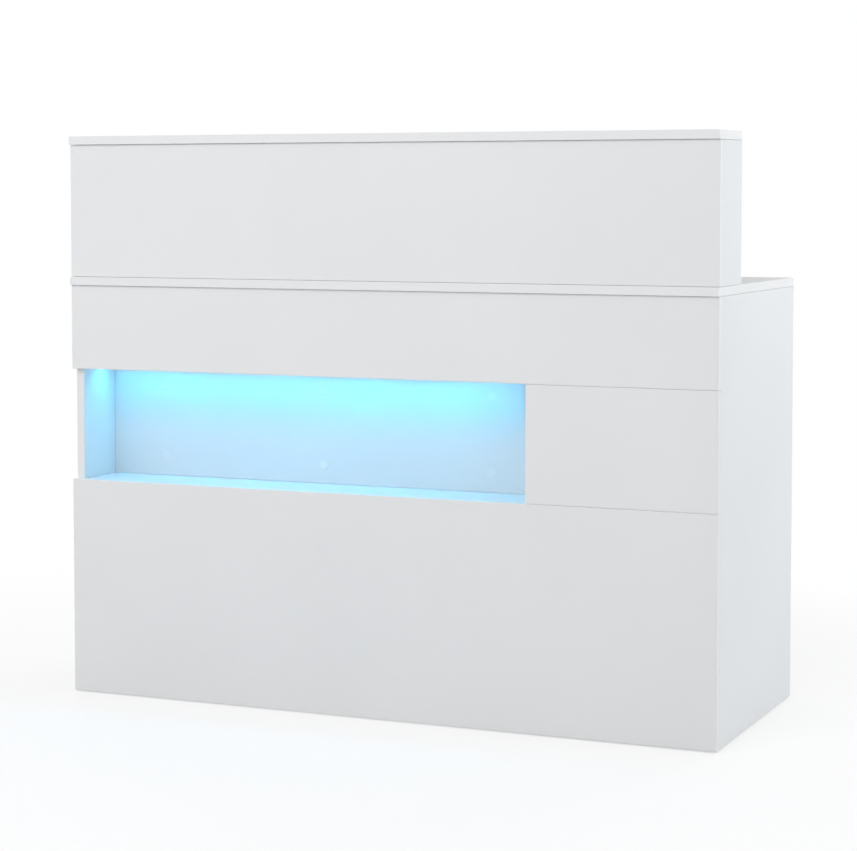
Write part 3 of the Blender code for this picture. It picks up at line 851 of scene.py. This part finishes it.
def add_screws(name, screw, finish, body, spots):
    """The same screw at every spot."""
    diameter, height, recess_depth = screw
    made = set_fittings(name, screw_head(height, recess_depth), diameter, finish, spots)
    fit(made, body, "zinc_steel")


def half_round(name, lines, width, height, finish, turn=0.0):
    """Half-round bars of one size along straight lines."""
    places = [place for line in lines for place in line]
    pairs = [(2 * step, 2 * step + 1) for step in range(len(lines))]
    sizes = {"Width": width, "Height": height, "Turn": turn, "Finish": finish}
    return grow(name, seed_mesh(name, places, pairs), HALF_ROUND, sizes)


def add_covers(plastic):
    """Covers over the cam fasteners: those in the niche, and those on the receptionist's side."""
    nodes = [f"cam_cover_{number}" for number in range(1, 7)]
    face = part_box("niche_back")[0][Y]
    spots = [((middle_of(node).x, face, middle_of(node).z), TO_VISITOR) for node in nodes]
    covers = set_fittings("niche_cam_covers", cover_cap(), COVER_DIAMETER, plastic, spots)
    fit(covers, "desk", "white_plastic", *nodes)

    knee_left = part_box("left_side_panel")[1][X] + COVER_INSET
    knee_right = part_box("pedestal_side")[0][X] - COVER_INSET
    panel_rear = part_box("lower_front_panel")[1][Y]
    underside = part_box("desktop")[0][Z]
    spots = []
    for x in (knee_left, knee_right):
        spots += [((x, panel_rear, z), TO_RECEPTIONIST) for z in PANEL_COVER_HEIGHTS]
        spots += [((x, y, underside), DOWN) for y in DESKTOP_COVER_DEPTHS]
    counter_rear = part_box("counter_front_panel")[1][Y]
    bay_ends = [
        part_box("counter_left_end")[1][X] + COVER_INSET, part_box("counter_divider")[0][X] - COVER_INSET,
        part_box("counter_divider")[1][X] + COVER_INSET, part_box("counter_right_end")[0][X] - COVER_INSET,
    ]
    for x in bay_ends:
        spots += [((x, counter_rear, z), TO_RECEPTIONIST) for z in COUNTER_COVER_HEIGHTS]
    rear_covers = set_fittings("rear_cam_covers", cover_cap(), COVER_DIAMETER, plastic, spots)
    fit(rear_covers, "desk", "white_plastic")


def add_strip(plastic, zinc):
    """The lit sleeve under the niche's ceiling, its two end caps, and the clips that hold it."""
    low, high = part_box("led_strip")
    middle = middle_of("led_strip").y
    width = high[Y] - low[Y]
    height = high[Z] - low[Z]

    def along(first, last):
        return (first, middle, high[Z]), (last, middle, high[Z])

    glow = strip_sleeve("strip_sleeve", (low, high))
    lit = along(low[X] + END_CAP, high[X] - END_CAP)
    sleeve = half_round("strip_sleeve", [lit], width, height, glow)
    fit(sleeve, "desk", "light_strip", "led_strip")

    ends = [along(low[X], low[X] + END_CAP), along(high[X] - END_CAP, high[X])]
    cap_width = width + 2 * END_CAP_PROUD
    caps = half_round("strip_end_caps", ends, cap_width, height + END_CAP_PROUD, glow)
    fit(caps, "desk", "light_strip")

    holds = [along(x - CLIP_LENGTH / 2, x + CLIP_LENGTH / 2) for x in CLIPS]
    saddle_width = width + 2 * CLIP_WALL
    saddles = half_round("strip_clip_saddles", holds, saddle_width, height + CLIP_WALL, plastic)
    fit(saddles, "desk", "white_plastic")
    feet = half_round("strip_clip_feet", holds, CLIP_FOOT, CLIP_FOOT_HEIGHT, plastic)
    fit(feet, "desk", "white_plastic")
    foot = high[Z] - CLIP_FOOT_HEIGHT / 2
    asides = (-CLIP_SCREW_REACH, CLIP_SCREW_REACH)
    spots = [((x, middle + aside, foot), DOWN) for x in CLIPS for aside in asides]
    add_screws("strip_clip_screws", CLIP_SCREW, zinc, "desk", spots)


def rounded_block(shape, low, high, radius):
    """A block between two corners, with its edges rounded."""
    made = bmesh.ops.create_cube(shape, size=1.0)["verts"]
    middle = (Vector(low) + Vector(high)) / 2
    size = Vector(high) - Vector(low)
    for corner in made:
        corner.co = [middle[axis] + corner.co[axis] * size[axis] for axis in (X, Y, Z)]
    edges = list({edge for corner in made for edge in corner.link_edges})
    bmesh.ops.bevel(
        shape, geom=edges, offset=radius, offset_type="OFFSET", segments=3, profile=0.5, affect="EDGES",
        clamp_overlap=True,
    )


def add_blocks(name, finish, body, slot, blocks, *replaced):
    """One piece made of rounded blocks: each has two corners and a radius."""
    shape = bmesh.new()
    for low, high, radius in blocks:
        rounded_block(shape, low, high, radius)
    mesh = as_mesh(shape, name)
    mesh.materials.append(finish)
    round_off(mesh)
    fit(add_to_scene(name, mesh), body, slot, *replaced)


def cord_gland():
    """A gland one unit across: ridged for the fingers, and narrower where a cord would enter."""
    profile = [
        (0, -0.10), (0.50, -0.10), (0.50, 0.10), (0.44, 0.14), (0.44, 0.22), (0.50, 0.26), (0.50, 0.34),
        (0.44, 0.38), (0.44, 0.46), (0.48, 0.50), (0.48, 0.58), (0.34, 0.68), (0.32, 0.77), (0.18, 0.77),
        (0.18, 0.50), (0, 0.50),
    ]
    return turned_shape(profile, sides=24)


def add_controller(grey):
    """The strip's controller: a case in two halves with a seam, ribs on its lid, and a gland."""
    low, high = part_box("led_controller")
    start = low[X] + GLAND_LENGTH
    lid = high[Z] - RIB_HEIGHT
    seam = low[Z] + CASE_SEAM
    core_low = (start + CORE_INSET, low[Y] + CORE_INSET, low[Z] + CORE_INSET)
    core_high = (high[X] - CORE_INSET, high[Y] - CORE_INSET, lid - CORE_INSET)
    case = [
        ((start, low[Y], low[Z]), (high[X], high[Y], seam), CASE_ROUND),
        ((start, low[Y], seam + CASE_SEAM_GAP), (high[X], high[Y], lid), CASE_ROUND),
        (core_low, core_high, CORE_INSET),
    ]
    add_blocks("controller_case", grey, "desk", "grey_plastic", case, "led_controller")

    rows = [start + RIB_START + RIB_PITCH * step for step in range(RIBS)]
    lines = [((x, low[Y] + RIB_INSET, lid), (x, high[Y] - RIB_INSET, lid)) for x in rows]
    ribs = half_round("controller_ribs", lines, RIB_WIDTH, RIB_HEIGHT, grey, turn=math.pi)
    fit(ribs, "desk", "grey_plastic")
    entry = (start, (low[Y] + high[Y]) / 2, low[Z] + GLAND_HEIGHT)
    gland = set_fittings("controller_gland", cord_gland(), GLAND_DIAMETER, grey, [(entry, LEFT)])
    fit(gland, "desk", "grey_plastic")


def add_handle(node, along, screw_spots, zinc):
    """A bow handle on its front, and the two screws that hold it from the inner side."""
    low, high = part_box(node)
    middle = middle_of(node)
    turn = math.pi / 2 if along == Z else 0.0
    sizes = {
        "Centres": HANDLE_CENTRES, "Projection": high[Y] - low[Y], "Width": HANDLE_WIDTH,
        "Thickness": HANDLE_THICKNESS, "Bend": HANDLE_BEND, "Edge": HANDLE_EDGE, "Turn": turn,
        "Middle": (middle.x, low[Y], middle.z), "Finish": brushed_metal(f"brushed_{node}", along),
    }
    seed = seed_mesh(f"bow_{node}", [middle])
    bow = grow(f"bow_{node}", seed, BOW_HANDLE, sizes)
    fit(bow, body_of(node), "satin_metal", node)
    add_screws(f"{node}_screws", HANDLE_SCREW, zinc, body_of(node), screw_spots)


def add_handles(zinc):
    inner_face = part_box("upper_drawer_front")[0][Y]
    half = HANDLE_CENTRES / 2
    for node in ("upper_drawer_handle", "lower_drawer_handle"):
        middle = middle_of(node)
        spots = [((middle.x + aside, inner_face, middle.z), TO_VISITOR) for aside in (-half, half)]
        add_handle(node, X, spots, zinc)
    middle = middle_of("door_handle")
    spots = [((middle.x, inner_face, middle.z + aside), TO_VISITOR) for aside in (-half, half)]
    add_handle("door_handle", Z, spots, zinc)


def add_lock_housing():
    """The lock's housing: a flange with a rounded rim and a shallow ring, and the body behind it."""
    axis = middle_of("lock_housing")
    low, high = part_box("lock_housing")
    inner_end = low[Y] - high[Y]
    profile = [
        (0.0056, -0.0004), (0.0060, 0.0), (0.0070, 0.0), (0.0072, -0.0002), (0.0076, -0.0002),
        (0.0078, 0.0), (0.0088, 0.0), (0.0096, -0.0003), (0.0100, -0.0010), (0.0100, -0.0020),
        (0.0080, -0.0020), (0.0080, inner_end), (0.0056, inner_end),
    ]
    spot = ((axis.x, high[Y], axis.z), TO_RECEPTIONIST)
    shape = turned_shape(profile, sides=48, hollow=True)
    turned = lathe_metal("turned_lock_housing", axis)
    housing = set_fittings("turned_lock_housing", shape, 1.0, turned, [spot])
    fit(housing, "upper_drawer", "satin_metal", "lock_housing")


def web_face(node, at_low):
    """Where the web of a runner's rail shows between its lips, and the way that it faces."""
    low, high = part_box(node)
    if at_low:
        return low[X] + SHEET, RIGHT
    return high[X] - SHEET, LEFT


def add_runner_fittings(zinc, soft):
    """Screws in the webs of the runners, and a soft stop at the inner end of each fixed rail."""
    rail_spots = []
    stop_spots = []
    for drawer in ("upper", "lower"):
        slide_spots = []
        for side in ("left", "right"):
            rail = f"{drawer}_{side}_rail"
            slide = f"{drawer}_{side}_slide"
            height = middle_of(rail).z
            x, facing = web_face(rail, side == "left")
            rail_spots += [((x, y, height), facing) for y in RAIL_SCREW_PLACES]
            stop_spots.append(((x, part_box(rail)[0][Y] + RAIL_STOP_INSET, height), facing))
            x, facing = web_face(slide, side == "right")
            slide_spots += [((x, y, height), facing) for y in SLIDE_SCREW_PLACES]
        add_screws(f"{drawer}_slide_screws", RUNNER_SCREW, zinc, f"{drawer}_drawer", slide_spots)
    add_screws("rail_screws", RUNNER_SCREW, zinc, "desk", rail_spots)
    stops = set_fittings("rail_stops", soft_bumper(), RAIL_STOP_DIAMETER, soft, stop_spots)
    fit(stops, "desk", "white_plastic")


def add_box_screws(zinc):
    """Screws through the sides of each drawer box into its back."""
    for drawer in ("upper_drawer", "lower_drawer"):
        y = middle_of(f"{drawer}_back").y
        spots = []
        for side, limit, facing in (("left", 0, LEFT), ("right", 1, RIGHT)):
            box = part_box(f"{drawer}_{side}_side")
            for z in (box[0][Z] + BOX_SCREW_BOTTOM, box[1][Z] - BOX_SCREW_TOP):
                spots.append(((box[limit][X], y, z), facing))
        add_screws(f"{drawer}_box_screws", BOX_SCREW, zinc, drawer, spots)


def add_hinge_screws(zinc):
    """Flush screws in the hinge leaves, three in each."""
    wall_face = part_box("right_side_panel")[0][X] - HINGE_LEAF_FACE
    door_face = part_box("cupboard_door")[1][X] + HINGE_LEAF_FACE
    wall_spots = []
    door_spots = []
    for hinge in ("upper_hinge", "lower_hinge"):
        low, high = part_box(f"{hinge}_wall_leaf")
        y = low[Y] + HINGE_SCREW_INSET
        middle = (low[Z] + high[Z]) / 2
        for aside in (-HINGE_SCREW_PITCH, 0.0, HINGE_SCREW_PITCH):
            wall_spots.append(((wall_face, y, middle + aside), LEFT))
            door_spots.append(((door_face, y, middle + aside), RIGHT))
    add_screws("hinge_wall_screws", HINGE_SCREW, zinc, "desk", wall_spots)
    add_screws("hinge_door_screws", HINGE_SCREW, zinc, "cupboard_door", door_spots)


def add_shelf_pegs(zinc):
    """Four pegs under the ends of the cupboard's shelf."""
    low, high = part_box("cupboard_shelf")
    z = low[Z] - PEG_DIAMETER / 2
    spots = []
    for y in (low[Y] + PEG_INNER_INSET, high[Y] - PEG_OUTER_INSET):
        spots.append(((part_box("pedestal_side")[1][X], y, z), RIGHT))
        spots.append(((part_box("right_side_panel")[0][X], y, z), LEFT))
    pegs = set_fittings("shelf_pegs", shelf_peg(), PEG_DIAMETER, zinc, spots)
    fit(pegs, "desk", "zinc_steel")


def add_bumpers(soft):
    """Small bumpers where the door and the lower drawer's front meet the boards behind them."""
    inner_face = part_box("cupboard_door")[0][Y]
    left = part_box("cupboard_door")[0][X] + BUMPER_INSET
    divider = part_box("pedestal_divider")
    door_top = (divider[0][Z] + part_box("cupboard_door")[1][Z]) / 2
    door_bottom = middle_of("pedestal_floor").z
    spots = [((left, inner_face, z), TO_VISITOR) for z in (door_bottom, door_top)]
    bumpers = set_fittings("door_bumpers", soft_bumper(), BUMPER_DIAMETER, soft, spots)
    fit(bumpers, "cupboard_door", "white_plastic")

    drawer_low = (divider[1][Z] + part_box("lower_drawer_front")[0][Z]) / 2
    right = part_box("lower_drawer_front")[1][X] - BUMPER_INSET
    spots = [((x, inner_face, drawer_low), TO_VISITOR) for x in (left, right)]
    bumpers = set_fittings("lower_drawer_bumpers", soft_bumper(), BUMPER_DIAMETER, soft, spots)
    fit(bumpers, "lower_drawer", "white_plastic")


def add_door_catch(white, zinc):
    """A magnetic catch under the divider, and the steel plate on the door that it holds."""
    door_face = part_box("cupboard_door")[0][Y]
    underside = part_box("pedestal_divider")[0][Z]
    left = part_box("pedestal_side")[1][X] + CATCH_INSET
    right = left + CATCH_LENGTH
    front = door_face - CATCH_GAP
    rear = front - CATCH_DEPTH
    bottom = underside - CATCH_HEIGHT
    middle = (front + rear) / 2
    flange = underside - FLANGE_THICKNESS
    aside = FLANGE_WIDTH / 2
    case = [
        ((left + CATCH_EAR, rear, bottom), (right - CATCH_EAR, front, underside), CATCH_ROUND),
        ((left, middle - aside, flange), (right, middle + aside, underside), FLANGE_ROUND),
    ]
    add_blocks("door_catch_case", white, "desk", "white_plastic", case)

    height = bottom + POLE_HEIGHT
    pole_left = left + CATCH_EAR + POLE_INSET
    pole_right = right - CATCH_EAR - POLE_INSET
    poles = []
    for z in (height - POLE_SPREAD, height + POLE_SPREAD):
        low = (pole_left, front - POLE_DEPTH, z - POLE_THICKNESS / 2)
        high = (pole_right, front + POLE_PROUD, z + POLE_THICKNESS / 2)
        poles.append((low, high, POLE_ROUND))
    add_blocks("door_catch_poles", zinc, "desk", "zinc_steel", poles)
    spots = [((x, middle, flange), DOWN) for x in (left + CATCH_EAR / 2, right - CATCH_EAR / 2)]
    add_screws("door_catch_screws", CATCH_SCREW, zinc, "desk", spots)

    plate_face = door_face - STRIKE_THICKNESS
    low = (left + CATCH_EAR - STRIKE_PAST, plate_face, height - STRIKE_HEIGHT / 2)
    high = (right - CATCH_EAR + STRIKE_PAST, door_face, height + STRIKE_HEIGHT / 2)
    add_blocks("door_strike", zinc, "cupboard_door", "zinc_steel", [(low, high, STRIKE_ROUND)])
    spot = ((left + CATCH_LENGTH / 2, plate_face, height), TO_VISITOR)
    add_screws("door_strike_screw", STRIKE_SCREW, zinc, "cupboard_door", [spot])


def dress(node, finish):
    """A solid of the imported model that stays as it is, in its finish."""
    target = frame["nodes"][node]
    target.data.materials.clear()
    target.data.materials.append(finish)


def dress_solids(plastic):
    rolled = zinc_steel("rolled_zinc_steel")
    for node in nodes_with("zinc_steel"):
        dress(node, rolled)
    stamped = stamped_metal("stamped_nickel")
    for hinge in ("upper_hinge", "lower_hinge"):
        dress(f"{hinge}_wall_leaf", stamped)
        dress(f"{hinge}_door_leaf", stamped)
    dress("lock_plug", lathe_metal("lock_plug_nickel", middle_of("lock_housing")))
    for node in ("glide_1", "glide_2", "glide_3", "glide_4", "led_lead"):
        dress(node, plastic)
    for node in ("upper_drawer_bottom", "lower_drawer_bottom"):
        dress(node, drawer_bottom(node))


def add_desk():
    white = moulded_plastic("white_moulding", (0.785, 0.790, 0.796), roughness=0.38, texture=0.06)
    cover = moulded_plastic("cover_moulding", (0.776, 0.781, 0.788), roughness=0.44, texture=0.05)
    grey = moulded_plastic("grey_moulding", (0.215, 0.222, 0.230), roughness=0.52, texture=0.18)
    soft = moulded_plastic("soft_bumper", (0.660, 0.665, 0.655), roughness=0.28, texture=0.03)
    zinc = bright_zinc("bright_zinc")
    add_boards()
    add_covers(cover)
    add_strip(white, zinc)
    add_controller(grey)
    add_handles(zinc)
    add_lock_housing()
    add_runner_fittings(zinc, soft)
    add_box_screws(zinc)
    add_hinge_screws(zinc)
    add_shelf_pegs(zinc)
    add_bumpers(soft)
    add_door_catch(white, zinc)
    dress_solids(white)


FLOOR_SIZE = 16.0
FLOOR_WHITE = 0.62         # share of the floor that shows as plain white to the camera
FLOOR_FADE = (0.9, 2.2)    # distances over which it turns all white
FLOOR_GREYS = (0.58, 0.60)
FLOOR_SHOWN = 0.93         # its grey where the camera sees it
SKY_LEVEL = 0.59
SKY_COLOUR = (0.985, 0.992, 1.0)
COOL_LIGHT = (0.94, 0.98, 1.0)
DESK_FRONT = (0, -0.2, 0.6)
NICHE_PIECES = ("banded_niche_back", "banded_niche_floor", "banded_niche_ceiling", "niche_cam_covers")


def seen_directly(tree):
    """1 for what the camera, a reflection or a view through glass shows, and 0 for light."""
    path = tree.add("ShaderNodeLightPath")
    shown = path.output("Is Camera Ray")
    for kind in ("Is Glossy Ray", "Is Transmission Ray"):
        shown = shown.most(path.output(kind))
    return shown


def add_floor():
    """A pale floor: plain white away from the desk, and a soft shadow near it."""
    shape = bmesh.new()
    bmesh.ops.create_grid(shape, x_segments=1, y_segments=1, size=FLOOR_SIZE / 2)
    floor = add_to_scene("studio_floor", as_mesh(shape, "studio_floor"))
    material, tree = new_finish("studio_floor")
    place = object_place(tree)
    distance = tree.add("ShaderNodeVectorMath", {"operation": "LENGTH"}, {0: place}, output="Value")
    away = distance.rise(*FLOOR_FADE)
    shown = seen_directly(tree)
    share = shown * (FLOOR_WHITE + (1 - FLOOR_WHITE) * away)
    grain = tree.noise(place, 3.0)
    lit = tree.blend(grain, *map(neutral, FLOOR_GREYS))
    pale = tree.blend(shown, lit, neutral(FLOOR_SHOWN))
    matt = tree.add("ShaderNodeBsdfDiffuse", None, {"Color": pale})
    white = tree.add("ShaderNodeEmission", None, {"Color": neutral(1.0), "Strength": 1.0})
    both = tree.add("ShaderNodeMixShader", None, {0: share, 1: matt, 2: white})
    tree.add("ShaderNodeOutputMaterial", None, {"Surface": both})
    floor.data.materials.append(material)
    floor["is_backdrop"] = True


def add_sky():
    """Even light from all round, which the camera and reflections see as plain white."""
    world = bpy.data.worlds.new("studio")
    world.use_nodes = True
    world.node_tree.nodes.clear()
    tree = Tree(world.node_tree)
    shown = seen_directly(tree)
    even = {"Color": paint(*SKY_COLOUR), "Strength": SKY_LEVEL}
    light = tree.add("ShaderNodeBackground", None, even)
    white = tree.add("ShaderNodeBackground", None, {"Color": neutral(1.0), "Strength": 1.0})
    both = tree.add("ShaderNodeMixShader", None, {0: shown, 1: light, 2: white})
    tree.add("ShaderNodeOutputWorld", None, {"Surface": both})
    bpy.context.scene.world = world


def add_softbox(name, place, aim, size, power, colour=(1, 1, 1)):
    lamp = bpy.data.lights.new(name, "AREA")
    lamp.shape = "RECTANGLE"
    lamp.size, lamp.size_y = size
    lamp.energy = power
    lamp.color = colour
    made = add_to_scene(name, lamp)
    made.location = place
    made.rotation_mode = "QUATERNION"
    made.rotation_quaternion = (Vector(aim) - Vector(place)).to_track_quat("-Z", "Y")
    return made


def keep_light_off(lamp, pieces):
    """A lamp gives no light to these pieces, as with a card held before it in a studio."""
    shaded = bpy.data.collections.new(lamp.name + "_shaded")
    for piece in pieces:
        shaded.objects.link(bpy.data.objects[piece])
    for entry in shaded.collection_objects:
        entry.light_linking.link_state = "EXCLUDE"
    lamp.light_linking.receiver_collection = shaded


def add_camera():
    lens = bpy.data.cameras.new("photo_camera")
    lens.sensor_width = CAMERA_SENSOR
    lens.lens = CAMERA_LENS
    lens.shift_y = CAMERA_SHIFT
    camera = add_to_scene("photo_camera", lens)
    camera.location = CAMERA_PLACE
    camera.rotation_euler = (math.radians(90 + CAMERA_TILT), 0.0, math.radians(CAMERA_TURN))
    bpy.context.scene.camera = camera


def add_studio():
    bpy.context.scene.view_settings.view_transform = "Standard"
    add_floor()
    add_sky()
    add_softbox("left_softbox", (-2.7, -3.6, 3.4), DESK_FRONT, size=(3.2, 2.2), power=14)
    add_softbox("front_softbox", (-0.45, -3.7, 3.1), DESK_FRONT, size=(3.6, 1.4), power=40)
    carded = add_softbox("carded_softbox", (-0.4, -3.7, 1.5), DESK_FRONT, size=(2.6, 1.0), power=33)
    keep_light_off(carded, NICHE_PIECES)
    add_softbox(
        "side_softbox", (4.0, 0.4, 0.8), (0.6, 0, 0.3), size=(2.2, 1.6), power=49, colour=COOL_LIGHT,
    )
    add_softbox("rear_softbox", (1.0, 3.6, 1.5), (0, 0.2, 0.5), size=(2.6, 2.0), power=54)
    add_softbox("rear_fill", (-2.6, 2.8, 1.3), (0, 0.2, 0.4), size=(2.2, 1.8), power=36)
    add_camera()


add_desk()
add_studio()

boxes = {"cad": cad_box, "visual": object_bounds()}
{name: [list(corner) for corner in box] for name, box in boxes.items()}
